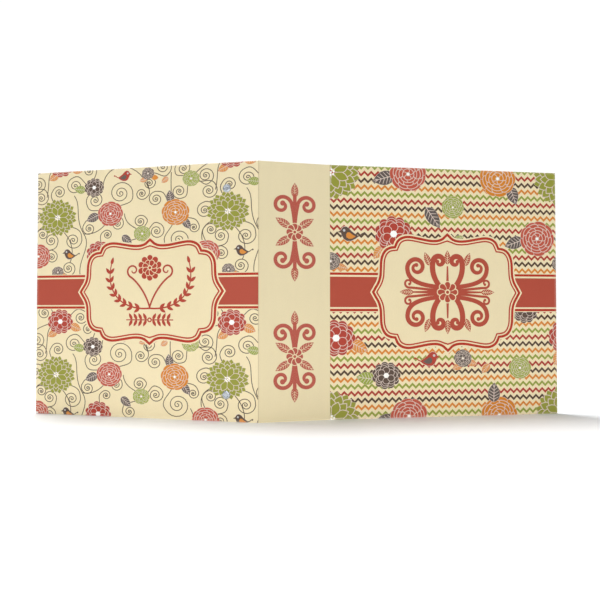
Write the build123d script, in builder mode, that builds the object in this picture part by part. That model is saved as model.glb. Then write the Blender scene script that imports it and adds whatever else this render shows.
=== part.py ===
from build123d import *
import math
import os

# Scrapbook album: a three-panel wrapped-board case (back cover, spine, front
# cover) with a three-ring D-ring mechanism riveted to the back cover and six
# page leaves (clear sleeve + card sheet) hanging on the rings.
#
# Frame: +Z up, the album stands on its bottom edges. The origin is the middle
# of the spine's outer face at the bottom edge; the spine's outer face is the
# plane y = 0 and looks along -Y. The front cover is on the +X side, the back
# cover on the -X side. All sizes in millimetres.
#
# Each panel has its own frame: x along the panel, y its depth measured inward
# from the outer face, z up. A cover's x is 0 at the crease; it grows outward
# on the front cover and is negative on the back cover.

os.makedirs("parts", exist_ok=True)

# ---------------------------------------------------------------- case sizes
HEIGHT = 292.1         # all three panels
COVER_W = 279.4        # hinge crease to outer edge
SPINE_W = 82.55        # crease to crease
FRONT_ANGLE = -4.6     # degrees inward from the spine's plane
BACK_ANGLE = 23.4

WRAP_T = 0.35          # printed cover paper
BOARD_T = 2.2          # chipboard
LINER_T = 0.2          # inner lining sheet
WEB_T = 0.5            # flexible web in the hinge gutter (wrap + lining)
BOARD_IN = WRAP_T + BOARD_T       # depth of the board's inner face
WRAP_IN = BOARD_IN + WRAP_T       # depth of the turned-in wrap's inner face
CASE_T = WRAP_IN + LINER_T
GUTTER = 3.2           # crease to board edge
WEB_GAP = 0.3          # clearance between web and hinge axis
TURN_IN = 15.0         # width of the wrap folded over to the inside
LINER_MARGIN = 4.0     # lining sheet stands this far in from the edges
LINER_GUTTER = GUTTER + 0.4       # crease to lining
PAD_MARGIN = TURN_IN + 0.3        # filler pad, in from the edges
HINGE_Y = WEB_T / 2    # hinge axis lies in the middle of the web
OVERCUT = 1.0          # cuts run this far past open faces

# ------------------------------------------------------------ ring mechanism
CENTRE_X = -37.0       # housing centre line on the back cover
HOUSING_W = 34.0
HOUSING_WALL = 0.9
HOUSING_BASE = CASE_T + 0.1       # stands just clear of the lining
HOUSING_SHOULDER = 6.8            # depth where the side walls meet the arch
HOUSING_TOP = 12.2
HOUSING_LIP = 2.4      # outer face of a side wall to the edge of its lip
HOUSING_Z0 = 17.0
RING_PITCH = 107.95    # 4.25 inch hole spacing
RING_Z = [HEIGHT / 2 + step * RING_PITCH for step in (-1, 0, 1)]
PRONG_OFF = 12.5       # ring foot, from the housing centre line
OUTER_FOOT_X = CENTRE_X - PRONG_OFF
INNER_FOOT_X = CENTRE_X + PRONG_OFF
SLOT_SPANS = (         # housing slots for the ring feet, start and end x
    (OUTER_FOOT_X - 2.9, OUTER_FOOT_X + 2.4),
    (INNER_FOOT_X - 2.4, INNER_FOOT_X + 4.0),
)
SLOT_HALF_H = 2.4
SLOT_DROP = 1.2        # slots reach this far below the shoulder

PIVOT_OFF = 15.3       # blade pivot, from the housing centre line
PIVOT_Y = 6.5          # depth of the blade and lever pivots
BLADE_T = 1.0
BLADE_TILT = 4.25      # degrees; closed blades dip towards the middle
BLADE_REACH = PIVOT_OFF - 0.2
BLADE_Z0 = HOUSING_Z0 - 1.0
BLADE_NOTCH_R = 4.6    # clears the rivet posts
BLADE_FOOT_HOLE_R = 1.2
BLADE_CUT = 14.0       # depth range cut through the blades

WIRE_R = 1.75
RING_TOP = 70.5        # wire centre line at the top of the ring
CORNER_R = 8.0         # top corner of the straight half
ARC_R = 29.0           # arc of the curved half
ARC_SHORT = 0.25       # degrees the arc stops short of the straight half
STRAIGHT_START = 6.98  # the wire's shoulder stands just clear of its blade
CURVED_START = 7.9     # centre of the slanted wire's lower end
FOOT_R = 1.15          # riveted foot of a ring wire
FOOT_END = 5.45

RIVET_SPAN = 232.8     # rivet to rivet
RIVETS = (("lower", HEIGHT / 2 - RIVET_SPAN / 2), ("upper", HEIGHT / 2 + RIVET_SPAN / 2))
RIVET_SPOTS = [(CENTRE_X, z) for _, z in RIVETS]
RIVET_HEAD_R = 4.8
RIVET_SHANK_R = 2.4
RIVET_HOLE_R = 2.5
SPACER_R = 3.8
SPACER_BORE_R = RIVET_SHANK_R + 0.05
SPACER_TOP = 10.95

LEVER_Z = 13.0         # lever pivot from the bottom (and from the top)
LEVER_HALF = 5.1       # half width of a thumb lever
BOSS_R = 2.2
TONGUE_HALF = 2.5
EAR_IN = 5.6           # inside face of the lever ears, from the centre line
EAR_T = 1.0
EAR_TOP = 11.0
EAR_BOTTOM = 4.4
EAR_ARM_BOTTOM = 8.7   # the arm joins the ear to the housing
EAR_Z = (LEVER_Z - 3.2, HOUSING_Z0 - 1.6)
EAR_ARM_Z = (LEVER_Z - 3.2, HOUSING_Z0 + 3)
PIN_R = 1.0
PIN_HALF = EAR_IN + 1.5
PIN_HEAD_R = 1.6
PIN_HEAD_T = 0.55
PIN_HEAD_OFF = EAR_IN + EAR_T + 0.05

# -------------------------------------------------------------------- leaves
LEAF_TILT = (2.0, 6.0, 10.5, 15.0, 19.5, 24.0)   # degrees
LEAF_Y0 = 14.0         # depth of the lowest leaf on the straight prongs
LEAF_STEP = 2.0
HOLE_SHIFT = 1.5       # hole centre lies this far outward of the prong
HOLE_R = 4.3
STRIP_HALF = 8.5       # half width of the punched strip
LEAF_OUT = 226.5       # hole centre to outer edge
LEAF_H = 285.8
LEAF_T = 0.6
STRIP_T = 0.5
FILM_T = 0.12
SEAM_INNER = 0.6       # joined edges of the two films
SEAM_OUTER = 0.8
SEAM_BOTTOM = 1.6
SHEET_W = 215.9
SHEET_H = 279.4
SHEET_T = 0.28
SHEET_X = STRIP_HALF + 1.0
SHEET_RISE = 2.4       # bottom of the leaf to bottom of the sheet


# ------------------------------------------------------------------- helpers
def cover_frame(side, angle):
    """Frame of a cover on the +X (side 1) or -X (side -1) end of the spine."""
    turn = math.radians(side * angle)
    inward = Vector(-math.sin(turn), math.cos(turn), 0)
    hinge = Vector(side * SPINE_W / 2, HINGE_Y, 0)
    return Plane(
        origin=hinge - inward * HINGE_Y,
        x_dir=(math.cos(turn), math.sin(turn), 0),
        z_dir=(0, 0, 1),
    )


FRONT = cover_frame(1, FRONT_ANGLE)
BACK = cover_frame(-1, BACK_ANGLE)
SPINE = Plane.XY


def sub_plane(base, origin, x_dir, z_dir):
    """A plane given in the local coordinates of another plane."""
    zero = base.from_local_coords(Vector(0, 0, 0))
    return Plane(
        origin=base.from_local_coords(Vector(*origin)),
        x_dir=base.from_local_coords(Vector(*x_dir)) - zero,
        z_dir=base.from_local_coords(Vector(*z_dir)) - zero,
    )


def up(base, z):
    """The base plane lifted by z."""
    return sub_plane(base, (0, 0, z), (1, 0, 0), (0, 0, 1))


def face_on(base, y):
    """Plane parallel to a panel at depth y; local x along, y up, normal outward."""
    return sub_plane(base, (0, y, 0), (1, 0, 0), (0, -1, 0))


def side_on(offset):
    """Plane across the back cover, offset from the centre line; local x depth, y up."""
    return sub_plane(BACK, (CENTRE_X + offset, 0, 0), (0, 1, 0), (1, 0, 0))


def wire_end(x, y, z, direction=(0, 1)):
    """Plane on the back cover whose normal is a direction in local x and y."""
    run, rise = direction
    return sub_plane(BACK, (x, y, z), (rise, -run, 0), (run, rise, 0))


def inset(margin):
    """Height range that stays this far in from the top and bottom edges."""
    return margin, HEIGHT - margin


def from_end(end, z):
    """Height z measured from the lower or upper end of the album."""
    return HEIGHT - z if end == "upper" else z


def slab(base, x_span, y_span, z_span, mode=Mode.ADD):
    """A rectangular block given by its limits in the panel's own coordinates."""
    (x0, x1), (y0, y1), (z0, z1) = x_span, y_span, z_span
    with BuildSketch(up(base, z0)) as outline:
        with Locations(((x0 + x1) / 2, (y0 + y1) / 2)):
            Rectangle(abs(x1 - x0), y1 - y0)
    extrude(outline.sketch, amount=z1 - z0, mode=mode)


def rods(plane, centres, radius, length, mode=Mode.ADD):
    """Round bars along the plane's normal."""
    with BuildSketch(plane) as discs:
        with Locations(*centres):
            Circle(radius)
    extrude(discs.sketch, amount=length, mode=mode)


def drill(base, y_span, centres, radius):
    """Round holes through a panel layer; centres are (x, z)."""
    y0, y1 = y_span
    rods(face_on(base, y0), centres, radius, -(y1 - y0), Mode.SUBTRACT)


def save(builder, label):
    builder.part.label = label
    export_step(builder.part, f"parts/{label}.step")


# --------------------------------------------------------------- case panels
def build_panel(name, base, board_x, wrap_x, cavity_x, opening_x, web_spans,
                liner_x, pad_x, riveted=False):
    """Board, wrap and liner of one panel; riveted adds the two rivet holes."""
    # chipboard
    with BuildPart() as board:
        slab(base, board_x, (WRAP_T, BOARD_IN), inset(WRAP_T))
        if riveted:
            drill(base, (WRAP_T, BOARD_IN), RIVET_SPOTS, RIVET_HOLE_R)
    save(board, f"{name}_board")

    # printed wrap: outer sheet, edge walls, turned-in border and hinge webs
    with BuildPart() as wrap:
        slab(base, wrap_x, (0, WRAP_IN), (0, HEIGHT))
        slab(base, cavity_x, (WRAP_T, BOARD_IN), inset(WRAP_T), Mode.SUBTRACT)
        slab(base, opening_x, (WRAP_T, WRAP_IN + OVERCUT), inset(TURN_IN), Mode.SUBTRACT)
        for web_x in web_spans:
            slab(base, web_x, (0, WEB_T), (0, HEIGHT))
        if riveted:
            drill(base, (0, WRAP_T), RIVET_SPOTS, RIVET_HOLE_R)
    save(wrap, f"{name}_wrap")

    # lining: thin sheet over the turn-ins with a filler pad inside them
    with BuildPart() as liner:
        slab(base, liner_x, (WRAP_IN, CASE_T), inset(LINER_MARGIN))
        slab(base, pad_x, (BOARD_IN, WRAP_IN), inset(PAD_MARGIN))
        if riveted:
            drill(base, (BOARD_IN, CASE_T), RIVET_SPOTS, RIVET_HOLE_R)
    save(liner, f"{name}_liner")


def build_cover(name, base, side):
    def span(start, end):
        return side * start, side * end

    build_panel(
        name, base,
        board_x=span(GUTTER, COVER_W - WRAP_T),
        wrap_x=span(GUTTER, COVER_W),
        cavity_x=span(GUTTER - OVERCUT, COVER_W - WRAP_T),
        opening_x=span(GUTTER - OVERCUT, COVER_W - TURN_IN),
        web_spans=[span(WEB_GAP, GUTTER)],
        liner_x=span(LINER_GUTTER, COVER_W - LINER_MARGIN),
        pad_x=span(LINER_GUTTER, COVER_W - PAD_MARGIN),
        riveted=name == "back",
    )


def build_spine():
    half = SPINE_W / 2
    panel_x = (-half + GUTTER, half - GUTTER)
    liner_x = (-half + LINER_GUTTER, half - LINER_GUTTER)
    build_panel(
        "spine", SPINE,
        board_x=panel_x,
        wrap_x=panel_x,
        cavity_x=(-half, half),
        opening_x=(-half, half),
        web_spans=[(-half + WEB_GAP, -half + GUTTER), (half - GUTTER, half - WEB_GAP)],
        liner_x=liner_x,
        pad_x=liner_x,
    )


# -------------------------------------------------------------- ring housing
def build_housing():
    """Arched sheet-steel channel with slots, lever ears and rivet holes."""
    left, right = CENTRE_X - HOUSING_W / 2, CENTRE_X + HOUSING_W / 2
    left_in, right_in = left + HOUSING_WALL, right - HOUSING_WALL
    lip_top = HOUSING_BASE + HOUSING_WALL
    with BuildPart() as housing:
        with BuildSketch(up(BACK, HOUSING_Z0)):
            with BuildLine():
                Polyline(
                    (left, HOUSING_SHOULDER),
                    (left, HOUSING_BASE),
                    (right, HOUSING_BASE),
                    (right, HOUSING_SHOULDER),
                )
                ThreePointArc(
                    (right, HOUSING_SHOULDER), (CENTRE_X, HOUSING_TOP), (left, HOUSING_SHOULDER)
                )
            make_face()
            # hollow inside, open towards the cover between two short lips
            with BuildLine():
                Polyline(
                    (left_in, HOUSING_SHOULDER),
                    (left_in, lip_top),
                    (left + HOUSING_LIP, lip_top),
                    (left + HOUSING_LIP, CASE_T),
                    (right - HOUSING_LIP, CASE_T),
                    (right - HOUSING_LIP, lip_top),
                    (right_in, lip_top),
                    (right_in, HOUSING_SHOULDER),
                )
                ThreePointArc(
                    (right_in, HOUSING_SHOULDER),
                    (CENTRE_X, HOUSING_TOP - HOUSING_WALL),
                    (left_in, HOUSING_SHOULDER),
                )
            make_face(mode=Mode.SUBTRACT)
        extrude(amount=HEIGHT - 2 * HOUSING_Z0)
        # clearance slots for the ring feet
        slot_y = (HOUSING_SHOULDER - SLOT_DROP, HOUSING_TOP + 2 * OVERCUT)
        for z in RING_Z:
            for slot_x in SLOT_SPANS:
                slot_z = (z - SLOT_HALF_H, z + SLOT_HALF_H)
                slab(BACK, slot_x, slot_y, slot_z, Mode.SUBTRACT)
        # ears that carry the lever pins, one pair at each end
        for end in ("lower", "upper"):
            ear_z = sorted(from_end(end, z) for z in EAR_Z)
            arm_z = sorted(from_end(end, z) for z in EAR_ARM_Z)
            for side in (-1, 1):
                ear_x = (CENTRE_X + side * EAR_IN, CENTRE_X + side * (EAR_IN + EAR_T))
                slab(BACK, ear_x, (EAR_BOTTOM, EAR_TOP), ear_z)
                slab(BACK, ear_x, (EAR_ARM_BOTTOM, EAR_TOP), arm_z)
        # holes for the lever pins, then for the rivets
        pin_spots = [(PIVOT_Y, LEVER_Z), (PIVOT_Y, HEIGHT - LEVER_Z)]
        rods(side_on(-12), pin_spots, PIN_R, 24, Mode.SUBTRACT)
        drill(BACK, (HOUSING_TOP - 4, HOUSING_TOP + 2), RIVET_SPOTS, RIVET_HOLE_R)
    save(housing, "ring_housing")


# -------------------------------------------------------------- hinge blades
def build_blade(name, side):
    """One of two steel plates that meet under the arch.

    Each turns about its far edge; at rest both dip towards the middle, which
    holds the rings shut. side is the x direction from the pivot to the middle.
    """
    tilt = math.radians(BLADE_TILT)
    plane = sub_plane(
        BACK,
        (CENTRE_X - side * PIVOT_OFF, PIVOT_Y, BLADE_Z0),
        (side * math.cos(tilt), -math.sin(tilt), 0),
        (0, 0, 1),
    )
    foot_spots = [(CENTRE_X - side * PRONG_OFF, z) for z in RING_Z]
    with BuildPart() as blade:
        with BuildSketch(plane):
            with Locations((BLADE_REACH / 2, 0)):
                Rectangle(BLADE_REACH, BLADE_T)
            Circle(BLADE_T / 2)
        extrude(amount=HEIGHT - 2 * BLADE_Z0)
        drill(BACK, (0, BLADE_CUT), RIVET_SPOTS, BLADE_NOTCH_R)
        drill(BACK, (0, BLADE_CUT), foot_spots, BLADE_FOOT_HOLE_R)
    save(blade, f"{name}_blade")


# ---------------------------------------------------------------- ring wires
def build_ring_half(label, z, start, bend, direction, bend_r, turn, foot_overlap):
    """Wire from start straight to bend, then an arc; a thin foot at the start.

    Points are (x, depth); the foot runs foot_overlap into the wire.
    """
    with BuildPart() as wire:
        with BuildLine(up(BACK, z)) as path:
            Line(start, bend)
            JernArc(bend, direction, bend_r, turn)
        with BuildSketch(wire_end(*start, z, direction)):
            Circle(WIRE_R)
        sweep(path=path.line)
        foot_length = start[1] + foot_overlap - FOOT_END
        rods(wire_end(start[0], FOOT_END, z), [(0, 0)], FOOT_R, foot_length)
    save(wire, label)


def build_rings():
    # the slanted leg is tangent to the arc, whose top meets the straight half
    arc_dx = OUTER_FOOT_X + CORNER_R - INNER_FOOT_X
    arc_dy = RING_TOP - ARC_R - CURVED_START
    reach = math.hypot(arc_dx, arc_dy)
    leg = math.sqrt(reach**2 - ARC_R**2)
    lean = math.atan2(arc_dy, arc_dx) - math.asin(ARC_R / reach)
    leg_dir = (math.cos(lean), math.sin(lean))
    for number, z in enumerate(RING_Z, start=1):
        build_ring_half(
            f"straight_ring_{number}", z,
            start=(OUTER_FOOT_X, STRAIGHT_START),
            bend=(OUTER_FOOT_X, RING_TOP - CORNER_R),
            direction=(0, 1), bend_r=CORNER_R, turn=-90, foot_overlap=1,
        )
        build_ring_half(
            f"curved_ring_{number}", z,
            start=(INNER_FOOT_X, CURVED_START),
            bend=(INNER_FOOT_X + leg * leg_dir[0], CURVED_START + leg * leg_dir[1]),
            direction=leg_dir, bend_r=ARC_R,
            turn=180 - math.degrees(lean) - ARC_SHORT, foot_overlap=0.3,
        )


# -------------------------------------------------------------------- levers
# Side outlines: (depth, height from the album's end)
TAB_OUTLINE = (
    (PIVOT_Y + 0.4, LEVER_Z + 2.1), (PIVOT_Y + 2.1, LEVER_Z + 0.4),
    (13.2, 8.2), (15.6, 3.4), (14.5, 2.8), (11.9, 7.4),
    (PIVOT_Y - 0.6, LEVER_Z - 2.1),
)
TONGUE_OUTLINE = (
    (PIVOT_Y, LEVER_Z - 1.2), (3.6, LEVER_Z + 0.6), (3.5, LEVER_Z + 5.8),
    (4.55, LEVER_Z + 5.8), (4.9, LEVER_Z + 1.9), (PIVOT_Y, LEVER_Z + 2.0),
)


def build_lever(end):
    """Bent-steel thumb lever; its narrow tongue lies under the blades."""
    pivot = (PIVOT_Y, from_end(end, LEVER_Z))
    with BuildPart() as lever:
        # boss and thumb tab
        with BuildSketch(side_on(-LEVER_HALF)):
            with Locations(pivot):
                Circle(BOSS_R)
            with BuildLine():
                Polyline(*[(y, from_end(end, z)) for y, z in TAB_OUTLINE], close=True)
            make_face()
        extrude(amount=2 * LEVER_HALF)
        # narrow tongue
        with BuildSketch(side_on(-TONGUE_HALF)):
            with BuildLine():
                Polyline(*[(y, from_end(end, z)) for y, z in TONGUE_OUTLINE], close=True)
            make_face()
        extrude(amount=2 * TONGUE_HALF)
        rods(side_on(-8), [pivot], PIN_R + 0.05, 16, Mode.SUBTRACT)
    save(lever, f"{end}_lever")


def build_lever_pin(end):
    """Pin with upset heads outside the ears."""
    pivot = (PIVOT_Y, from_end(end, LEVER_Z))
    with BuildPart() as pin:
        rods(side_on(-PIN_HALF), [pivot], PIN_R, 2 * PIN_HALF)
        for offset in (-PIN_HEAD_OFF - PIN_HEAD_T, PIN_HEAD_OFF):
            rods(side_on(offset), [pivot], PIN_HEAD_R, PIN_HEAD_T)
    save(pin, f"{end}_lever_pin")


# -------------------------------------------------------------------- rivets
# Half profile: (radius, depth). The shank has a blind bore at its inner end;
# the head lies outside the cover, with a rounded rim and a shallow dish.
RIVET_SHANK = (
    (0, -0.75), (0, 9.0), (1.3, 9.0), (1.3, 13.1), (3.1, 13.1), (3.6, 12.7),
    (3.6, HOUSING_TOP), (RIVET_SHANK_R, HOUSING_TOP), (RIVET_SHANK_R, 0),
    (RIVET_HEAD_R, 0), (RIVET_HEAD_R, -0.35),
)
RIVET_RIM = ((RIVET_HEAD_R, -0.35), (4.15, -1.15), (3.0, -1.45))
RIVET_DISH = ((3.0, -1.45), (1.9, -0.85), (0, -0.75))


def build_rivet(end, z):
    profile = sub_plane(BACK, (CENTRE_X, 0, z), (1, 0, 0), (0, 0, 1))
    with BuildPart() as rivet:
        with BuildSketch(profile):
            with BuildLine():
                Polyline(*RIVET_SHANK)
                ThreePointArc(*RIVET_RIM)
                Polyline(*RIVET_DISH)
            make_face()
        revolve(axis=Axis(profile.origin, profile.y_dir))
    save(rivet, f"{end}_rivet")


def build_rivet_spacer(end, z):
    """Tube around the rivet shank, inside the housing."""
    with BuildPart() as spacer:
        with BuildSketch(face_on(BACK, CASE_T)):
            with Locations((CENTRE_X, z)):
                Circle(SPACER_R)
                Circle(SPACER_BORE_R, mode=Mode.SUBTRACT)
        extrude(amount=-(SPACER_TOP - CASE_T))
    save(spacer, f"{end}_rivet_spacer")


# -------------------------------------------------------------------- leaves
def centred(thickness):
    return -thickness / 2, thickness / 2


def build_leaf(number, tilt_degrees):
    """Sleeve and card sheet; the leaf's local x runs outward from its holes."""
    tilt = math.radians(tilt_degrees)
    leaf = sub_plane(
        BACK,
        (OUTER_FOOT_X - HOLE_SHIFT, LEAF_Y0 + LEAF_STEP * (number - 1), 0),
        (-math.cos(tilt), math.sin(tilt), 0),
        (0, 0, 1),
    )
    bottom = (HEIGHT - LEAF_H) / 2
    top = bottom + LEAF_H
    with BuildPart() as sleeve:
        # punched strip
        slab(leaf, (-STRIP_HALF, STRIP_HALF), centred(STRIP_T), (bottom, top))
        drill(leaf, (-1, 1), [(0, z) for z in RING_Z], HOLE_R)
        # pocket: two films joined along three edges, open at the top
        slab(leaf, (STRIP_HALF, LEAF_OUT), centred(LEAF_T), (bottom, top))
        slab(
            leaf,
            (STRIP_HALF + SEAM_INNER, LEAF_OUT - SEAM_OUTER),
            centred(LEAF_T - 2 * FILM_T),
            (bottom + SEAM_BOTTOM, top + OVERCUT),
            Mode.SUBTRACT,
        )
    save(sleeve, f"page_sleeve_{number}")

    sheet_z = bottom + SHEET_RISE
    with BuildPart() as sheet:
        slab(leaf, (SHEET_X, SHEET_X + SHEET_W), centred(SHEET_T), (sheet_z, sheet_z + SHEET_H))
    save(sheet, f"page_sheet_{number}")


# --------------------------------------------------------------------- build
build_cover("front", FRONT, side=1)
build_cover("back", BACK, side=-1)
build_spine()
build_housing()
build_blade("outer", side=1)
build_blade("inner", side=-1)
build_rings()
for end in ("lower", "upper"):
    build_lever(end)
    build_lever_pin(end)
for end, z in RIVETS:
    build_rivet(end, z)
    build_rivet_spacer(end, z)
for number, tilt_degrees in enumerate(LEAF_TILT, start=1):
    build_leaf(number, tilt_degrees)
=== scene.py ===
# A printed three-ring binder, standing upright and open.
# Z is up and the foot of the case is at z = 0. The spine is centred on X and its printed
# outside looks towards -Y. The front cover runs off to +X, the back cover to -X, and the
# rings and six pages stand inside, on the +Y side of the back cover.
import math
from functools import partialmethod

import bpy
import bmesh
import numpy as np
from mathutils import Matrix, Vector
from mathutils.geometry import delaunay_2d_cdt


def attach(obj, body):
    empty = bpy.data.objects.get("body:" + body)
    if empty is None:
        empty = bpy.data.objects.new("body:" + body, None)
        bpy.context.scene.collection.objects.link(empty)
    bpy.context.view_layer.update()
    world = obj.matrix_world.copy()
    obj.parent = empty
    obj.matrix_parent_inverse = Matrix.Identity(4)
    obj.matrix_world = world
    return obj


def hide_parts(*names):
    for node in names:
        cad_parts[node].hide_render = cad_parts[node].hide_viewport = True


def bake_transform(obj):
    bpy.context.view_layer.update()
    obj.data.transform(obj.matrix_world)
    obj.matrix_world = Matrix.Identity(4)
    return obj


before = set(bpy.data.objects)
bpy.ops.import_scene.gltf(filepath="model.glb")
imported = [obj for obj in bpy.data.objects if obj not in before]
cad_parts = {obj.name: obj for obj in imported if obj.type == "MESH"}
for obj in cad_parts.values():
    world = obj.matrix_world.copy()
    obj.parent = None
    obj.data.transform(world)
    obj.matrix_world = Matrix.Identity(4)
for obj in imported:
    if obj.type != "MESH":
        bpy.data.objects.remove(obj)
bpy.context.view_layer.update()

MM = 0.001  # sizes are in millimetres, Blender works in metres
TAU = math.tau

# ---------------------------------------------------------------- sizes (mm)
HEIGHT, COVER_W, SPINE_W = 292.1, 279.4, 82.55
CASE_T, LINER_T = 3.1, 0.2
FOLD_DEPTH = CASE_T - LINER_T  # how deep the wrap folds round the board
TURN_IN = 15.0  # wrap turned over onto the inside
HINGE_Y = 0.25  # depth of the creases
FRONT_TURN, BACK_TURN = -4.6, -23.4  # degrees about +Z from the plane of the spine
HOLE_X = -51.0  # ring holes of the pages, across the back cover from its crease
LEAF_TILT = (2, 6, 10.5, 15, 19.5, 24)  # degrees of each page off the back cover
FIRST_LEAF, LEAF_PITCH = 14.0, 2.0  # inward from the back cover


class Panel:
    """Maps a point given across, inward and up (mm) on a panel to the frame (m)."""

    def __init__(self, crease_x, turn):
        turn = math.radians(turn)
        self.across = np.array([math.cos(turn), math.sin(turn)])
        self.inward = np.array([-math.sin(turn), math.cos(turn)])
        self.origin = np.array([crease_x, HINGE_Y]) - self.inward * HINGE_Y

    def at(self, x, inward, z):
        p = self.origin + self.across * x + self.inward * inward
        return Vector((p[0] * MM, p[1] * MM, z * MM))

    def direction(self, x, inward, z):
        p = self.across * x + self.inward * inward
        return Vector((p[0], p[1], z))


PANELS = {
    "front": Panel(SPINE_W / 2, FRONT_TURN),
    "back": Panel(-SPINE_W / 2, BACK_TURN),
    "spine": Panel(0.0, 0.0),
}
SIGNS = {"front": 1, "back": -1}  # which way along X each cover runs


def add_object(name, data):
    ob = bpy.data.objects.new(name, data)
    bpy.context.collection.objects.link(ob)
    return ob


# ------------------------------------------------------------ printing tools
# Every printed shape is a flat polygon in millimetres on its own panel, with x across
# and z (or y) up. Later shapes lie on top of earlier ones.
def rotate(x, y, angle):
    c, s = math.cos(angle), math.sin(angle)
    return x * c - y * s, x * s + y * c


def scroll(x, y, radius, end, turns, hand, inner, grow, steps):
    """A scroll about (x, y) from its eye out to the radius, where it ends at angle end,
    heading end + hand * 90 degrees. Steps are counted per turn."""
    n = int(steps * turns)
    pts = []
    for k in range(n + 1):
        t = k / n
        r = radius * (inner + (1 - inner) * t**grow)
        a = end - hand * (1 - t) * turns * TAU
        pts.append((x + r * math.cos(a), y + r * math.sin(a)))
    return pts


def bezier(p0, p1, p2, p3, n=16):
    pts = []
    for k in range(n + 1):
        t = k / n
        a, b, c, d = (1 - t) ** 3, 3 * t * (1 - t) ** 2, 3 * t * t * (1 - t), t**3
        pts.append(tuple(a * p0[i] + b * p1[i] + c * p2[i] + d * p3[i] for i in (0, 1)))
    return pts


def onward(pts, length):
    """A point straight on from the end of a path, for a smooth join."""
    (x0, y0), (x1, y1) = pts[-2], pts[-1]
    m = math.hypot(x1 - x0, y1 - y0)
    return x1 + (x1 - x0) / m * length, y1 + (y1 - y0) / m * length


def led_on(path, length, guide, end, n):
    """A scroll carried on from its outer end to another point."""
    return path[:-1] + bezier(path[-1], onward(path, length), guide, end, n)


def place(pts, cx, cz, sx, sz=1):
    """A path moved to a centre, mirrored where sx or sz is -1."""
    return [(cx + sx * a, cz + sz * b) for a, b in pts]


# Petal outline: distance along, share of the half width
POINTED = ((0, 0.0), (0.25, 0.62), (0.5, 1.0), (0.72, 0.82), (0.88, 0.42), (1, 0.0))
ROUNDED = ((0, 0.35), (0.2, 0.74), (0.45, 0.98), (0.7, 1.0), (0.88, 0.78), (0.97, 0.42), (1, 0.0))
# Leaf outline: distance along, share of the half width
LEAF = (
    (0, 0.0), (0.07, 0.45), (0.2, 0.86), (0.38, 1.0),
    (0.56, 0.95), (0.74, 0.7), (0.9, 0.3), (1, 0.0),
)
# Rings of petals from the outside in, as shares of the flower's radius
DAHLIA_RINGS = (  # petals, inner radius, outer radius, half width, turn in petals
    (16, 0.45, 1.0, 0.152, 0.5), (8, 0.4, 0.93, 0.15, 0.0), (8, 0.3, 0.86, 0.16, 0.5),
    (8, 0.2, 0.72, 0.15, 0.0), (8, 0.1, 0.61, 0.145, 0.5),
)
ROSE_RINGS = (  # petals, middle radius, half length
    (9, 0.765, 0.235), (9, 0.615, 0.21), (8, 0.47, 0.18), (6, 0.32, 0.155), (5, 0.18, 0.12),
)
POMPON_RINGS = (  # petals, middle radius, petal radius, turn in petals
    (11, 0.755, 0.245, 0.0), (9, 0.6, 0.27, 0.5), (7, 0.5, 0.25, 0.1), (6, 0.385, 0.225, 0.5),
)
# Bird outlines for a bird one unit long, facing +x
BIRD_BODY = (
    (0.3, -0.02), (0.345, 0.1), (0.33, 0.2), (0.26, 0.28), (0.16, 0.3), (0.06, 0.25),
    (-0.04, 0.14), (-0.18, 0.04), (-0.3, -0.03), (-0.18, -0.12), (-0.02, -0.2), (0.13, -0.2),
    (0.24, -0.13),
)
BIRD_BEAK = ((0.33, 0.17), (0.46, 0.1), (0.34, 0.08))
BIRD_TAIL = ((-0.26, -0.01), (-0.36, 0.03), (-0.4, 0.01), (-0.33, -0.03), (-0.27, -0.05))
BIRD_PLUME = ((-0.34, 0.0), (-0.42, 0.06), (-0.47, 0.07))
BIRD_WING = (
    (0.11, 0.1), (0.16, 0.02), (0.14, -0.08), (0.05, -0.13), (-0.06, -0.12), (-0.19, -0.04),
    (-0.06, 0.03), (0.03, 0.1),
)


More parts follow.
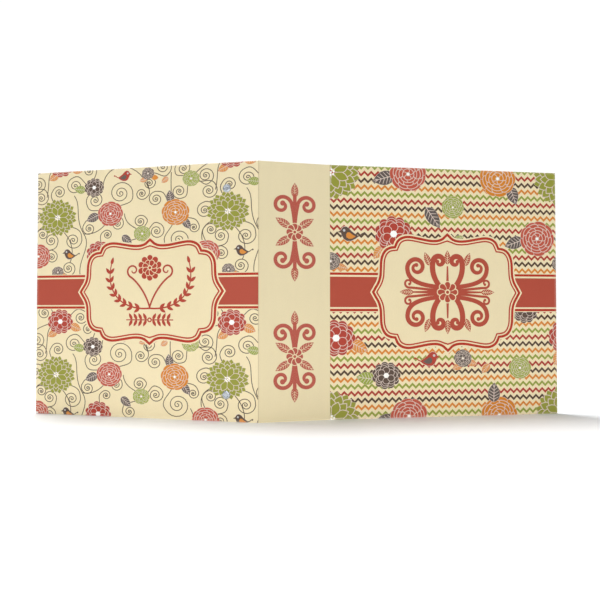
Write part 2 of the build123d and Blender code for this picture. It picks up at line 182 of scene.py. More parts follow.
class Print:
    """The printed shapes of one panel, as (ink, points)."""

    def __init__(self):
        self.shapes = []

    def poly(self, ink, pts):
        self.shapes.append((ink, pts))

    def disc(self, ink, x, y, r, n=14):
        angles = [TAU * k / n for k in range(n)]
        self.poly(ink, [(x + r * math.cos(a), y + r * math.sin(a)) for a in angles])

    def stroke(self, ink, pts, width, width_end=None, middle=None, caps=True):
        """A line that may taper or swell, drawn in short lengths so it can cross itself."""
        chunk = 8
        pts = [p for k, p in enumerate(pts) if k == 0 or math.dist(p, pts[k - 1]) > 1e-6]
        n = len(pts)
        end = width if width_end is None else width_end

        def wide(t):
            flat = width + (end - width) * t
            if middle is None:
                return flat
            return flat + (middle - 0.5 * (width + end)) * math.sin(math.pi * t)

        left, right = [], []
        for k, (x, y) in enumerate(pts):
            x0, y0 = pts[max(k - 1, 0)]
            x1, y1 = pts[min(k + 1, n - 1)]
            dx, dy = x1 - x0, y1 - y0
            m = math.hypot(dx, dy) or 1.0
            h = 0.5 * wide(k / (n - 1))
            left.append((x - dy / m * h, y + dx / m * h))
            right.append((x + dy / m * h, y - dx / m * h))
        for k in range(0, n - 1, chunk):
            last = min(k + chunk, n - 1)
            self.poly(ink, left[k : last + 1] + right[k : last + 1][::-1])
        if caps:
            self.disc(ink, *pts[0], width * 0.5, 10)
            self.disc(ink, *pts[-1], end * 0.5, 10)

    def petal(self, ink, x, y, angle, r0, r1, half, pointed=True, grow=0.0):
        """One petal from radius r0 to r1 about (x, y)."""
        r0, r1, half = r0 - grow, r1 + grow * (1.5 if pointed else 1.0), half + grow
        side = [(r0 + (r1 - r0) * t, half * w) for t, w in (POINTED if pointed else ROUNDED)]
        first = 1 if pointed else 0
        ring = side + [(p, -q) for p, q in reversed(side[first:-1])]
        turned = [rotate(p, q, angle) for p, q in ring]
        self.poly(ink, [(x + p, y + q) for p, q in turned])

    def squash(self, first, z, flat):
        """Flatten the shapes added since the first one, about height z."""
        for n in range(first, len(self.shapes)):
            ink, pts = self.shapes[n]
            self.shapes[n] = (ink, [(p, z + (q - z) * flat) for p, q in pts])

    def dahlia(self, x, y, r, ink, flat):
        """A flower of pointed petals in rings with a small dotted centre."""
        first, edge = len(self.shapes), 0.027 * r
        for i, (n, r0, r1, half, turn) in enumerate(DAHLIA_RINGS):
            trim, grow = (0.6 * edge, edge * 0.55) if i == 0 else (0, edge)
            for j in range(n):
                a = TAU * (j + turn) / n
                self.petal("petal_edge", x, y, a, r0 * r, r1 * r - trim, half * r, grow=grow)
                self.petal(ink, x, y, a, r0 * r, r1 * r, half * r)
        for j in range(6):
            a = TAU * j / 6 + 0.3
            self.disc("white", x + 0.1 * r * math.cos(a), y + 0.1 * r * math.sin(a), 0.036 * r, 8)
        self.disc("white", x, y, 0.036 * r, 8)
        self.squash(first, y, flat)

    def rose(self, x, y, r, ink, flat, turn):
        """A full flower of overlapping round petals; a small one has a ring less."""
        first, edge = len(self.shapes), 0.036 * r + 0.05
        for i, (n, mid, size) in enumerate(ROSE_RINGS[: 5 if r > 12 else 4]):
            for j in range(n):
                a = TAU * (j + 0.5 * (i % 2)) / n + turn + 0.17 * i
                wobble = 1 + 0.09 * math.sin(4.7 * j + 2.3 * i + x)
                lean = a + 0.05 * math.sin(3.1 * j + i)
                petal = (x, y, lean, (mid - size) * r, (mid + size * wobble) * r, size * r * 1.4)
                self.petal("petal_edge", *petal, pointed=False, grow=edge if i else 0.5 * edge)
                self.petal(ink, *petal, pointed=False)
        self.disc("petal_edge", x, y, 0.12 * r, 10)
        self.disc("white", x, y, 0.075 * r, 10)
        self.squash(first, y, flat)

    def pompon(self, x, y, r, ink, flat):
        """A flower of round overlapping petals with a white eye."""
        first, edge = len(self.shapes), 0.024 * r + 0.08
        for i, (n, at, size, turn) in enumerate(POMPON_RINGS):
            for j in range(n):
                a = TAU * (j + turn) / n
                px, py = x + at * r * math.cos(a), y + at * r * math.sin(a)
                self.disc("petal_edge", px, py, size * r + edge * (0.5 if i == 0 else 1.0), 18)
                self.disc(ink, px, py, size * r - (0 if i == 0 else 0.2 * edge), 18)
        for j in range(8):
            a = TAU * j / 8
            px, py = x + 0.12 * r * math.cos(a), y + 0.12 * r * math.sin(a)
            self.disc("white", px, py, 0.075 * r, 8)
        self.disc("white", x, y, 0.15 * r, 12)
        self.squash(first, y, flat)

    def leaf(self, x, y, length, width, angle, ink, ground=None):
        """A pointed leaf, middle at (x, y), tip towards the angle in degrees. With a ground
        ink its veins show the ground; otherwise veins and a thin rim are in petal_edge."""
        a = math.radians(angle)
        vein = ground or "petal_edge"

        def outline(grow):
            up = [((t - 0.5) * (length + 2 * grow), (width / 2 + grow) * w) for t, w in LEAF]
            ring = up + [(p, -q) for p, q in reversed(up[1:-1])]
            turned = [rotate(p, q, a) for p, q in ring]
            return [(p + x, q + y) for p, q in turned]

        if not ground:
            self.poly(vein, outline(0.26))
        self.poly(ink, outline(0))
        if length < 9.5:
            return

        def draw_vein(start, end, width_start, width_end):
            ends = [rotate(*p, a) for p in (start, end)]
            pts = [(x + p, y + q) for p, q in ends]
            self.stroke(vein, pts, width_start, width_end, caps=False)

        def half_width(t):
            for (t0, w0), (t1, w1) in zip(LEAF, LEAF[1:]):
                if t <= t1:
                    return 0.5 * width * (w0 + (w1 - w0) * (t - t0) / (t1 - t0))

        v = max(0.5, 0.052 * width)
        draw_vein((-0.5 * length, 0), (0.44 * length, 0), v * 1.2, v * 0.6)
        for k in range(5):
            t = 0.14 + 0.155 * k
            end = t + 0.15
            h = 0.86 * half_width(end)
            for side in (1, -1):
                draw_vein(((t - 0.5) * length, 0), ((end - 0.5) * length, side * h), v, v * 0.6)

    def bird(self, x, y, s, facing, ink, wing):
        """A small plain bird, s millimetres long, facing +1 right or -1 left."""

        def at(pts):
            return [(x + facing * p * s, y + q * s) for p, q in pts]

        grown = [(0.04 + (p - 0.04) * 1.04, 0.05 + (q - 0.05) * 1.06) for p, q in BIRD_BODY]
        self.poly("petal_edge", at(grown))
        for part in (BIRD_BODY, BIRD_BEAK, BIRD_TAIL):
            self.poly(ink, at(part))
        self.stroke(ink, at(BIRD_PLUME), 0.03 * s, 0.05 * s)
        self.disc(ink, x - facing * 0.48 * s, y + 0.07 * s, 0.04 * s, 10)
        self.poly(wing, at(BIRD_WING))
        self.disc("eye_grey", x + facing * 0.225 * s, y + 0.165 * s, 0.046 * s, 10)

    def scatter(self, tiles, leaves, flowers, birds, bird_length, margin, rose_flat, flower_flat):
        """The leaves, flowers and birds of the pattern, repeated on every tile in reach."""
        for dx, dz in tiles:

            def near(x, z):
                across = -margin < x + dx < COVER_W + margin
                return across and -margin < z + dz < HEIGHT + margin

            for ink, group in leaves:
                for x, z, *shape in group:
                    if near(x, z):
                        self.leaf(x + dx, z + dz, *shape, ink)
            for kind, x, z, r, ink in flowers:
                if near(x, z):
                    if kind == "rose":
                        self.rose(x + dx, z + dz, r, ink, rose_flat, turn=x)
                    else:
                        getattr(self, kind)(x + dx, z + dz, r, ink, flower_flat)
            for x, z, *look in birds:
                if near(x, z):
                    self.bird(x + dx, z + dz, bird_length, *look)


# ------------------------------------------------------------ ribbon and label
# Upper right quarter of the bracket-shaped label, from its top round to its side: x, z
PLAQUE_QUARTER = (
    (0, 64), (3.2, 59.6), (7, 56.6), (13, 54.9), (22, 55.0), (34, 56.9), (44, 58.4),
    (51, 58.3), (57, 56.4), (61.4, 52.8), (64.0, 47.6), (69, 47.0), (74.6, 44.4),
    (78.6, 39.4), (80.8, 32.5), (81.3, 24), (81.8, 17), (83.8, 10.8), (87.6, 4.8), (92, 0),
)
PLAQUE_CORNER = 10  # the point where the outline turns sharply


def unit_normal(a, b):
    dx, dz = b[0] - a[0], b[1] - a[1]
    m = math.hypot(dx, dz)
    return dz / m, -dx / m


def spline(points):
    """Catmull-Rom points through the control points, without the last one."""
    n = len(points)
    curve = []
    for k in range(n - 1):
        p0, p1, p2, p3 = (points[min(max(k + j, 0), n - 1)] for j in (-1, 0, 1, 2))
        for j in range(4):
            t = j / 4
            curve.append(tuple(
                0.5 * (
                    2 * p1[i] + (p2[i] - p0[i]) * t
                    + (2 * p0[i] - 5 * p1[i] + 4 * p2[i] - p3[i]) * t * t
                    + (3 * p1[i] - p0[i] - 3 * p2[i] + p3[i]) * t**3
                )
                for i in (0, 1)
            ))
    return curve


def plaque_outline(inset, cx, cz, kx, kz):
    """Outline of the label about (cx, cz), scaled by kx and kz, set in by the inset."""
    pts = [(x * kx, z * kz) for x, z in PLAQUE_QUARTER]
    before = [(-pts[1][0], pts[1][1])] + pts[:-1]
    after = pts[1:] + [(pts[-2][0], -pts[-2][1])]
    moved = []
    for k, (x, z) in enumerate(pts):
        n0, n1 = unit_normal(before[k], pts[k]), unit_normal(pts[k], after[k])
        bx, bz = n0[0] + n1[0], n0[1] + n1[1]
        m = math.hypot(bx, bz)
        bx, bz = bx / m, bz / m
        cosine = max(bx * n0[0] + bz * n0[1], 0.35)
        corner = k == PLAQUE_CORNER
        moved.append((x + bx * inset / cosine, z + bz * inset / cosine, corner))
    # run the ends straight on to the axes
    tidy = [p for p in moved if p[0] > 0.6 and p[1] > 0.6]
    a, b = tidy[0], tidy[1]
    slope = (b[1] - a[1]) / (b[0] - a[0])
    head = (0.0, min(a[1] - slope * a[0], moved[0][1] + 30), False)
    a, b = tidy[-1], tidy[-2]
    slope = (b[0] - a[0]) / (b[1] - a[1])
    tail = (a[0] - slope * a[1], 0.0, False)
    control = [head] + tidy + [tail]
    cut = next(k for k, p in enumerate(control) if p[2])
    quarter = spline(control[: cut + 1]) + spline(control[cut:]) + [(tail[0], 0.0)]
    ring = quarter + [(x, -z) for x, z in reversed(quarter[:-1])]
    ring += [(-x, z) for x, z in reversed(ring[1:-1])]
    return [(cx + x, cz + z) for x, z in ring]


def add_ribbon_and_label(art, ribbon, low_line, high_line, centre, kx, kz):
    """The red ribbon between two thin lines (each given as its z range), and the label
    over it. Shapes they hide altogether are dropped."""
    x0, x1 = -40.0, COVER_W + 40.0
    z0, z1 = low_line[0], high_line[1]

    def covered(pts):
        u = max(abs(p[0] - centre[0]) / kx for p in pts)
        v = max(abs(p[1] - centre[1]) / kz for p in pts)
        banded = min(p[1] for p in pts) > z0 - 0.8 and max(p[1] for p in pts) < z1 + 0.8
        return banded or (u < 61 and v < 51) or (u < 78 and v < 38)

    art.shapes = [shape for shape in art.shapes if not covered(shape[1])]
    for ink, (low, high) in (
        ("cream", (z0 - 0.9, z1 + 0.9)), ("line_red", low_line), ("line_red", high_line),
        ("band_red", ribbon),
    ):
        art.poly(ink, [(x0, low), (x1, low), (x1, high), (x0, high)])
    for ink, inset in (
        ("cream", -1.8), ("line_red", -0.1), ("cream", 2.8), ("line_red", 4.25), ("plaque", 5.95),
    ):
        art.poly(ink, plaque_outline(inset, *centre, kx, kz))


def tile_offsets(pitch_x, pitch_z):
    return [(i * pitch_x, j * pitch_z) for i in (-1, 0, 1) for j in (-1, 0, 1)]


# ----------------------------------------------------------------- back cover
BACK_TILES = tile_offsets(216.0, 189.3)
BACK_SPIRALS = [  # eye x, z, radius, hand
    (111, 262.7, 16, -1), (138, 261, 8, 1), (156, 254, 10, -1), (185, 261.7, 9.5, 1),
    (5, 261, 10.5, 1), (51, 274, 11.5, -1), (29.6, 267, 9, 1), (78, 255.5, 12.5, 1),
    (1, 278.5, 10.5, -1), (136.4, 228.5, 8.5, -1), (157, 216.5, 10.5, 1), (184, 206, 16, -1),
    (203, 219.5, 7, 1), (70, 222, 9, -1), (49, 208.5, 12, 1), (19.4, 209, 9.5, -1),
    (7.5, 216.5, 8, 1), (43, 175, 9.5, -1), (20, 189, 8.5, 1), (11, 121.5, 9, -1),
    (60, 116, 10, 1), (70, 102, 8, -1), (107, 226.5, 8, 1), (124, 196, 9, -1),
    (147.5, 273.0, 7.5, 1), (216, 238.5, 10, -1), (165, 291, 11, -1),
    (190, 288, 11, 1), (110, 166, 11, 1), (160, 160, 11, -1), (185, 122, 11, 1),
    (122, 140, 9, -1), (97, 134, 9, 1), (94, 214, 6.5, 1),
]
BACK_ROOTS = [  # x, z of the places the spirals grow from
    (27.6, 236.6), (97.8, 238.8), (2.0, 190.2), (180.3, 237.7), (76.3, 270.9), (32.6, 111.1),
    (83.8, 191.8), (138.9, 214.1), (199.3, 275.9), (145.8, 284.3), (28.6, 170.4),
    (119.6, 207.2), (66, 166), (205, 150), (150, 130),
]
BACK_STEMS = [  # Bezier control points x, z
    ((63, 216), (76, 198), (50, 184), (61, 158)), ((63, 216), (50, 236), (60, 250), (50, 262)),
    ((63, 216), (78, 214), (92, 222), (98, 238)), ((88, 268), (86, 300), (132, 306), (147, 266)),
    ((175, 284), (174, 266), (176, 262), (174, 250)),
    ((199, 276), (212, 290), (222, 296), (246, 300)),
    ((13, 262), (18, 284), (10, 292), (30, 300)), ((213, 205), (210, 222), (222, 226), (240, 232)),
    ((116, 238), (118, 222), (134, 222), (139, 214)), ((12, 128), (4, 146), (-4, 150), (-6, 168)),
    ((200, 202), (214, 178), (196, 150), (205, 132)),
    ((92, 110), (112, 92), (134, 112), (130, 132)),
    ((243, 226), (262, 214), (268, 196), (261, 182)),
]
BACK_LEAVES = (  # ink, then x, z, length, width, angle
    ("grey_leaf", (
        (74.6, 234.7, 17, 10.5, 203), (173.6, 256, 15, 10, 98), (194.2, 224.2, 16, 9, -52),
        (119.6, 207.2, 16, 9.5, -40),
    )),
    ("leaf_green", ((57.5, 269.3, 15, 9.5, 172),)),
    ("leaf_orange", (
        (22.2, 285.5, 13, 9, 208), (53.5, 104, 15, 10, -22), (22.2, 96.5, 14, 9, 208),
        (167, 275.7, 10, 6.5, 214), (140, 277, 9.5, 6, 195), (154.6, 279.2, 9, 6, -8),
        (37, 166.5, 9, 5, -20),
    )),
)
BACK_FLOWERS = (  # kind, x, z, radius, ink
    ("dahlia", 27.6, 236.6, 25.8, "green"), ("rose", 97.8, 238.8, 16.4, "coral"),
    ("rose", 2.0, 190.2, 16.4, "coral"), ("rose", 180.3, 237.7, 17.2, "orange"),
    ("pompon", 76.3, 270.9, 12.8, "dark"), ("pompon", 32.6, 111.1, 17.0, "deep_red"),
    ("pompon", 83.8, 191.8, 17.0, "deep_red"), ("rose", 138.9, 214.1, 10.4, "light_green"),
    ("rose", 199.3, 275.9, 10.4, "light_green"), ("rose", 145.8, 284.3, 7.8, "grey"),
    ("rose", 28.6, 170.4, 7.8, "grey"),
)
BACK_BIRDS = (  # x, z, facing, ink, wing ink
    (114.5, 281.8, 1, "deep_red", "grey"), (45.5, 190.8, -1, "dark", "leaf_orange"),
)
VINE_W = 1.02


def add_vine_scroll(art, cx, cz, r, hand, roots):
    """A flattened spiral of vine and the stalk that joins it to the best placed root."""
    root = min(roots, key=lambda q: abs(math.dist(q, (cx, cz)) - (r + 9)))
    root_x, root_z = root
    toward = math.atan2(root_z - cz, root_x - cx)
    turns = 2.45 + 0.015 * r
    path = scroll(cx, cz, r, toward - hand * 1.9, turns, hand, inner=0.08, grow=1.6, steps=19)
    gap = math.dist(path[-1], root)
    first = len(art.shapes)
    art.stroke("vine", path, VINE_W)
    art.disc("vine", *path[0], 0.75, 8)
    art.squash(first, cz, 0.92)
    path[-2:] = [(p, cz + (q - cz) * 0.92) for p, q in path[-2:]]
    dx, dz = path[-1][0] - root_x, path[-1][1] - root_z
    guide = (root_x + dx * 0.45 + dz * 0.18 * hand, root_z + dz * 0.45 - dx * 0.18 * hand)
    stalk = bezier(path[-1], onward(path, gap * 0.42), guide, root, 10)
    art.stroke("vine", stalk, VINE_W, 0.9)


def add_back_ornament(art, cx, cz):
    """A flower between two leafy branches, and a sprig below."""

    def leaf(x, z, length, width, angle):
        art.leaf(x, z, length, width, angle, "script_red", "plaque")

    branch = bezier((0, -30), (30, -33), (58, -16), (49, 22), 28)
    curl = scroll(21.0, 14.0, 8.2, math.radians(-70), 1.15, -1, inner=0.2, grow=1.1, steps=30)
    curl = led_on(curl, 10, (4, -14), (0, -29), 18)
    for s in (1, -1):
        art.stroke("script_red", place(branch, cx, cz, s), 2.0, 1.3)
        art.stroke("script_red", place(curl, cx, cz, s), 1.3, 2.0, middle=2.1)
        for k in range(4, 28, 3):
            (a0, b0), (a1, b1) = branch[k - 1], branch[k]
            head = math.degrees(math.atan2(b1 - b0, a1 - a0))
            for turn in (38, -38):
                d = math.radians(head + turn)
                a, b = a1 + 4.6 * math.cos(d), b1 + 4.6 * math.sin(d)
                angle = head + turn if s > 0 else 180 - head - turn
                leaf(cx + s * a, cz + b, 8.6, 3.7, angle)
        a, b = branch[-1]
        leaf(cx + s * (a - 1.2), cz + b + 4.0, 9.0, 3.8, 105 if s > 0 else 75)
    # flower: petals, inner radius, outer radius, half width, turn in petals
    for n, r0, r1, half, turn in ((10, 4.6, 15.0, 3.5, 0.0), (8, 2.2, 9.2, 2.7, 0.5)):
        for k in range(n):
            petal = (cx, cz + 17, TAU * (k + turn) / n + math.pi / 2, r0, r1, half)
            art.petal("plaque", *petal, pointed=False, grow=0.7)
            art.petal("script_red", *petal, pointed=False)
    art.disc("plaque", cx, cz + 17, 2.9, 16)
    art.disc("script_red", cx, cz + 17, 1.8, 12)
    sprig_z = 113.5
    art.stroke("script_red", [(cx - 29, sprig_z), (cx + 29, sprig_z)], 1.3)
    for k in (-4, -3, -2, -1, 1, 2, 3, 4):
        for z, v in ((117.6, 1), (109.6, -1)):
            leaf(cx + k * 6.0, z, 8.5, 3.6, v * (62 if k > 0 else 118))
    art.disc("script_red", cx, sprig_z, 2.9, 16)
    art.disc("plaque", cx, sprig_z, 1.3, 12)


def back_art():
    art = Print()
    roots = [(x + dx, z + dz) for x, z in BACK_ROOTS for dx, dz in BACK_TILES]
    for dx, dz in BACK_TILES:
        for x, z, r, hand in BACK_SPIRALS:
            if -30 < x + dx < 300 and -30 < z + dz < 325:
                add_vine_scroll(art, x + dx, z + dz, r, hand, roots)
        for stem in BACK_STEMS:
            if -40 < stem[0][0] + dx < 320 and -40 < stem[0][1] + dz < 340:
                art.stroke("vine", bezier(*[(a + dx, b + dz) for a, b in stem]), VINE_W, 0.95)
    art.scatter(
        BACK_TILES, BACK_LEAVES, BACK_FLOWERS, BACK_BIRDS,
        bird_length=24, margin=30, rose_flat=0.88, flower_flat=0.88,
    )
    add_ribbon_and_label(
        art, ribbon=(130.9, 162.2), low_line=(126.6, 129.3), high_line=(164.0, 166.7),
        centre=(148.8, 146.3), kx=1.0, kz=1.0,
    )
    add_back_ornament(art, 148.8, 157.0)
    return art.shapes


# ---------------------------------------------------------------- front cover
ZIGZAG_INKS = ("zig_green", "zig_red", "zig_dark", "zig_orange")
ZIGZAG_TOP, ZIGZAG_PITCH = 291.2, 7.95  # height of row 0, drop to the next
ZIGZAG_STEP, ZIGZAG_RISE, ZIGZAG_HALF = 8.1 / 2, 2.05, 1.62
FRONT_TILES = tile_offsets(284.0, 282.6)
FRONT_LEAVES = (  # ink, then x, z, length, width, angle
    ("grey_leaf", (
        (63.5, 278.5, 27, 16.5, 196), (123.4, 233.6, 29, 15, -55), (224.0, 262.8, 23, 14.5, -70),
        (225, 205.4, 25, 14.5, 200), (198, 27, 23, 15, 88),
    )),
    ("leaf_green", ((41.5, 46.5, 22, 14.5, 172),)),
    ("leaf_orange", (
        (34.5, 82.5, 22, 14, -28), (57, 191.5, 18, 11, 232), (13.5, 174.2, 15, 8, -12),
        (152.4, 58, 13, 8, 200), (171.0, 62.2, 12, 8, -15), (187.8, 55.6, 14, 8.5, 226),
        (279, 67, 18, 10, 250), (101, 209, 14, 8, 10),
    )),
    ("leaf_green", ((156, 210, 12, 7, 20),)),
)
FRONT_FLOWERS = (  # kind, x, z, radius, ink
    ("dahlia", 1.2, 283.6, 34.5, "green"), ("rose", 93.2, 284.3, 21.8, "coral"),
    ("rose", 204.6, 282.6, 22.8, "orange"), ("pompon", 75.4, 213.6, 22.6, "deep_red"),
    ("pompon", 7.0, 92.8, 22.6, "deep_red"), ("pompon", 66, 49.2, 17.0, "dark"),
    ("pompon", 238.4, 125, 17.0, "dark"), ("rose", 254.8, 211.2, 22, "coral"),
    ("rose", 148, 246.6, 13.8, "light_green"), ("rose", 231.2, 55.7, 13.8, "light_green"),
    ("rose", 0.8, 181, 10.8, "grey"), ("rose", 159.4, 68, 10.8, "grey"),
)
FRONT_BIRDS = (  # x, z, facing, ink, wing ink
    (24, 211.2, -1, "dark", "leaf_orange"), (116.5, 66.2, 1, "deep_red", "grey"),
)


def add_front_ornament(art, cx, cz):
    """Heavy mirrored scrolls about an upright spindle."""

    def leaf(x, z, length, width, angle):
        art.leaf(x, z, length, width, angle, "band_red", "plaque")

    tall = scroll(10.2, 36.0, 7.6, math.radians(0), 1.0, -1, inner=0.3, grow=1.0, steps=28)
    tall = led_on(tall, 12, (15, 10), (5, 3), 20)
    wide = scroll(38.0, 29.0, 11.5, math.radians(-20), 1.3, -1, inner=0.24, grow=1.1, steps=30)
    wide = led_on(wide, 12, (34, 8), (10, 6), 22)
    low = scroll(47.5, 10.6, 5.4, math.radians(-90), 0.9, -1, inner=0.3, grow=1.0, steps=26)
    low = low[:-1] + bezier(low[-1], (40, 5.2), (30, 3.4), (12, 2.2), 14)
    # path, width at the eye, at the root and midway, radius of the eye
    scrolls = ((tall, 3.0, 6.0, 6.4, 2.4), (wide, 3.0, 5.0, 5.2, 2.4), (low, 2.0, 3.2, 2.6, 1.7))
    for s in (1, -1):
        for v in (1, -1):
            for path, start, end, middle, _ in scrolls:
                art.stroke("band_red", place(path, cx, cz, s, v), start, end, middle)
            for path, *_, eye in scrolls:
                art.disc("band_red", *place(path, cx, cz, s, v)[0], eye, 14)
            angle = math.degrees(math.atan2(v * math.sin(1.2), s * math.cos(1.2)))
            leaf(cx + s * 24.8, cz + v * 39, 17, 7.5, angle)
    for v in (1, -1):
        leaf(cx, cz + v * 41, 17, 7.5, 90 * v)
        art.stroke("band_red", [(cx, cz + v * 30), (cx, cz)], 1.8, 4.0)
    for s in (1, -1):
        leaf(cx + s * 50, cz, 17, 7.0, 0 if s > 0 else 180)
        art.stroke("band_red", [(cx, cz), (cx + s * 42, cz)], 5.0, 1.8)
    for k in range(8):
        a = TAU * k / 8
        art.petal("plaque", cx, cz, a, 3, 13.2, 4.2, pointed=False)
        art.petal("band_red", cx, cz, a, 3, 12.2, 3.2, pointed=False)
    art.disc("plaque", cx, cz, 3.4, 16)
    art.disc("band_red", cx, cz, 2.0, 14)


def front_art():
    art = Print()
    for k in range(-3, 41):
        z = ZIGZAG_TOP - ZIGZAG_PITCH * k
        pts = [
            (-20 + ZIGZAG_STEP * j, z + (ZIGZAG_RISE if j % 2 else -ZIGZAG_RISE))
            for j in range(int((COVER_W + 44) / ZIGZAG_STEP) + 1)
        ]
        upper = [(x, y + ZIGZAG_HALF) for x, y in pts]
        lower = [(x, y - ZIGZAG_HALF) for x, y in pts]
        art.poly(ZIGZAG_INKS[k % 4], upper + lower[::-1])
    art.scatter(
        FRONT_TILES, FRONT_LEAVES, FRONT_FLOWERS, FRONT_BIRDS,
        bird_length=33, margin=34, rose_flat=0.95, flower_flat=0.93,
    )
    add_ribbon_and_label(
        art, ribbon=(128.2, 163.2), low_line=(123.5, 126.3), high_line=(165.3, 168.0),
        centre=(140.9, 145.6), kx=1.012, kz=1.13,
    )
    add_front_ornament(art, 140.9, 146.0)
    return art.shapes


# ---------------------------------------------------------------------- spine
SPINE_LINE_W, SPINE_MID = 4.2, 41.3
FLEURONS = ((213.0, 55.5), (72.5, 51.0))  # middle height, half height


def spine_art():
    """Two upright fleurons in one bold line, one above the other."""
    art = Print()
    # painted shade: a thin darker strip along each fold stands for the shade in the crease, where
    # the covers' print also runs a hair past the fold
    for x0, x1 in ((-2, 0.55), (82.2, 90)):
        art.poly("fold_shade", [(x0, -30), (x1, -30), (x1, 330), (x0, 330)])
    eye = scroll(14.6, 0.0, 11.4, math.pi, 1.2, 1, inner=0.22, grow=1.05, steps=34)
    arm = led_on(eye, 9, (0.5, -14), (0, -25), 14)
    w, mid = SPINE_LINE_W, SPINE_MID
    for z0, half in FLEURONS:
        raised = [(a, half - 25.5 + b) for a, b in arm]
        for v in (1, -1):
            for s in (1, -1):
                path = place(raised, mid, z0, s, v)
                art.stroke("script_red", path, w * 0.8, w, middle=w)
                art.disc("script_red", *path[0], w * 0.72, 14)
                angle = math.degrees(math.atan2(v * math.sin(0.55), s * math.cos(0.55)))
                x, z = mid + s * 13.5, z0 + v * 10.5
                art.leaf(x, z, 20, 8.6, angle, "script_red", "spine_cream")
            z = z0 + v * (half - 8.0)
            art.leaf(mid, z, 17, 8.4, 90 * v, "script_red", "spine_cream")
        art.stroke("script_red", [(mid, z0 - half + 14), (mid, z0 + half - 14)], w)
        for k in range(8):
            petal = (mid, z0, TAU * k / 8, 2.4, 9.6, 3.2)
            art.petal("spine_cream", *petal, pointed=False, grow=0.9)
            art.petal("script_red", *petal, pointed=False)
        art.disc("spine_cream", mid, z0, 2.8, 14)
        art.disc("script_red", mid, z0, 1.7, 12)
    return art.shapes


# -------------------------------------------------------------------- colours
def linear(hexa):
    """Linear RGBA of a #RRGGBB colour."""
    out = []
    for k in (1, 3, 5):
        c = int(hexa[k : k + 2], 16) / 255
        out.append(c / 12.92 if c <= 0.04045 else ((c + 0.055) / 1.055) ** 2.4)
    return (*out, 1.0)


INK = {
    # the spine's cream below is the covers' cream made a touch darker: painted shade
    "cream": "#EEDFB8", "plaque": "#ECDDB5", "spine_cream": "#E6D8B0", "band_red": "#B25140",
    "line_red": "#B43B2B", "script_red": "#B14637", "deep_red": "#B2463A", "coral": "#C15B49",
    "orange": "#D48431", "green": "#969840", "light_green": "#9DA94C", "dark": "#5F4F46",
    "grey": "#6B6059", "grey_leaf": "#645A56", "leaf_green": "#97A548", "leaf_orange": "#DA8F42",
    # the fold line's darker cream below is painted shade for the creases
    "fold_shade": "#CDBB93", "eye_grey": "#C9CCCB", "vine": "#594C42", "petal_edge": "#DCCBBD",
    "white": "#FFFEFA", "zig_green": "#949F44", "zig_red": "#AE4236", "zig_dark": "#594538",
    "zig_orange": "#D8873A",
}
# the laminate adds a little white sheen to every ink, so the inks under it are a touch deeper
SHEEN = 0.014
INK_LINEAR = {
    name: tuple(max(c - SHEEN, 0.004) for c in linear(hexa)[:3]) + (1.0,)
    for name, hexa in INK.items()
}


# --------------------------------------------------------------- shader tools
class Socket:
    """An output of a shader node. Arithmetic on it adds Math nodes."""

    def __init__(self, graph, socket):
        self.graph, self.socket = graph, socket

    def __getitem__(self, name):
        """Another output of the same node."""
        return Socket(self.graph, self.socket.node.outputs[name])

    def calc(self, operation, *others):
        inputs = dict(enumerate((self, *others)))
        return self.graph.node("ShaderNodeMath", inputs, operation=operation)

    __add__ = partialmethod(calc, "ADD")
    __sub__ = partialmethod(calc, "SUBTRACT")
    __mul__ = partialmethod(calc, "MULTIPLY")
    __truediv__ = partialmethod(calc, "DIVIDE")
    __abs__ = partialmethod(calc, "ABSOLUTE")
    most = partialmethod(calc, "MAXIMUM")

    def remap(self, to, of=(0.3, 0.7)):
        """The range `of` mapped onto the range `to`."""
        return self.graph.node("ShaderNodeMapRange", {
            "Value": self, "From Min": of[0], "From Max": of[1], "To Min": to[0], "To Max": to[1],
        })


class Graph:
    """A node tree being built."""

    def __init__(self, tree):
        self.tree = tree

    def feed(self, node, inputs):
        """Set or link inputs, given by name or number."""
        for key, value in inputs.items():
            if isinstance(value, Socket):
                self.tree.links.new(value.socket, node.inputs[key])
            else:
                node.inputs[key].default_value = value

    def node(self, kind, inputs={}, **props):
        """Adds a node and gives its first output."""
        new = self.tree.nodes.new(kind)
        for key, value in props.items():
            setattr(new, key, value)
        self.feed(new, inputs)
        return Socket(self, new.outputs[0])

    def coords(self):
        return self.node("ShaderNodeTexCoord")["Object"]

    def vector(self, operation, *inputs):
        return self.node("ShaderNodeVectorMath", dict(enumerate(inputs)), operation=operation)

    def noise(self, scale, detail=4.0, rough=0.55, stretch=None):
        inputs = {"Scale": scale, "Detail": detail, "Roughness": rough}
        if stretch:
            mapping = {"Vector": self.coords(), "Scale": stretch}
            inputs["Vector"] = self.node("ShaderNodeMapping", mapping)
        return self.node("ShaderNodeTexNoise", inputs)

    def mix(self, fac, a, b, blend="MIX"):
        inputs = {0: fac, 6: a, 7: b}
        return self.node("ShaderNodeMix", inputs, data_type="RGBA", blend_type=blend)[2]

    def shaded(self, colour, shade):
        """The colour multiplied by a grey."""
        grey = self.node("ShaderNodeCombineColor", {0: shade, 1: shade, 2: shade})
        return self.mix(1.0, colour, grey, "MULTIPLY")

    def bump(self, height, strength, distance):
        inputs = {"Strength": strength, "Distance": distance, "Height": height}
        return self.node("ShaderNodeBump", inputs)


class Surface(Graph):
    """A new material with a principled shader."""

    def __init__(self, name):
        self.material = bpy.data.materials.new(name)
        self.material.use_nodes = True
        super().__init__(self.material.node_tree)
        nodes = self.tree.nodes
        nodes.clear()
        output = nodes.new("ShaderNodeOutputMaterial")
        self.principled = nodes.new("ShaderNodeBsdfPrincipled")
        self.tree.links.new(self.principled.outputs[0], output.inputs["Surface"])

    def finish(self, inputs):
        self.feed(self.principled, inputs)
        return self.material


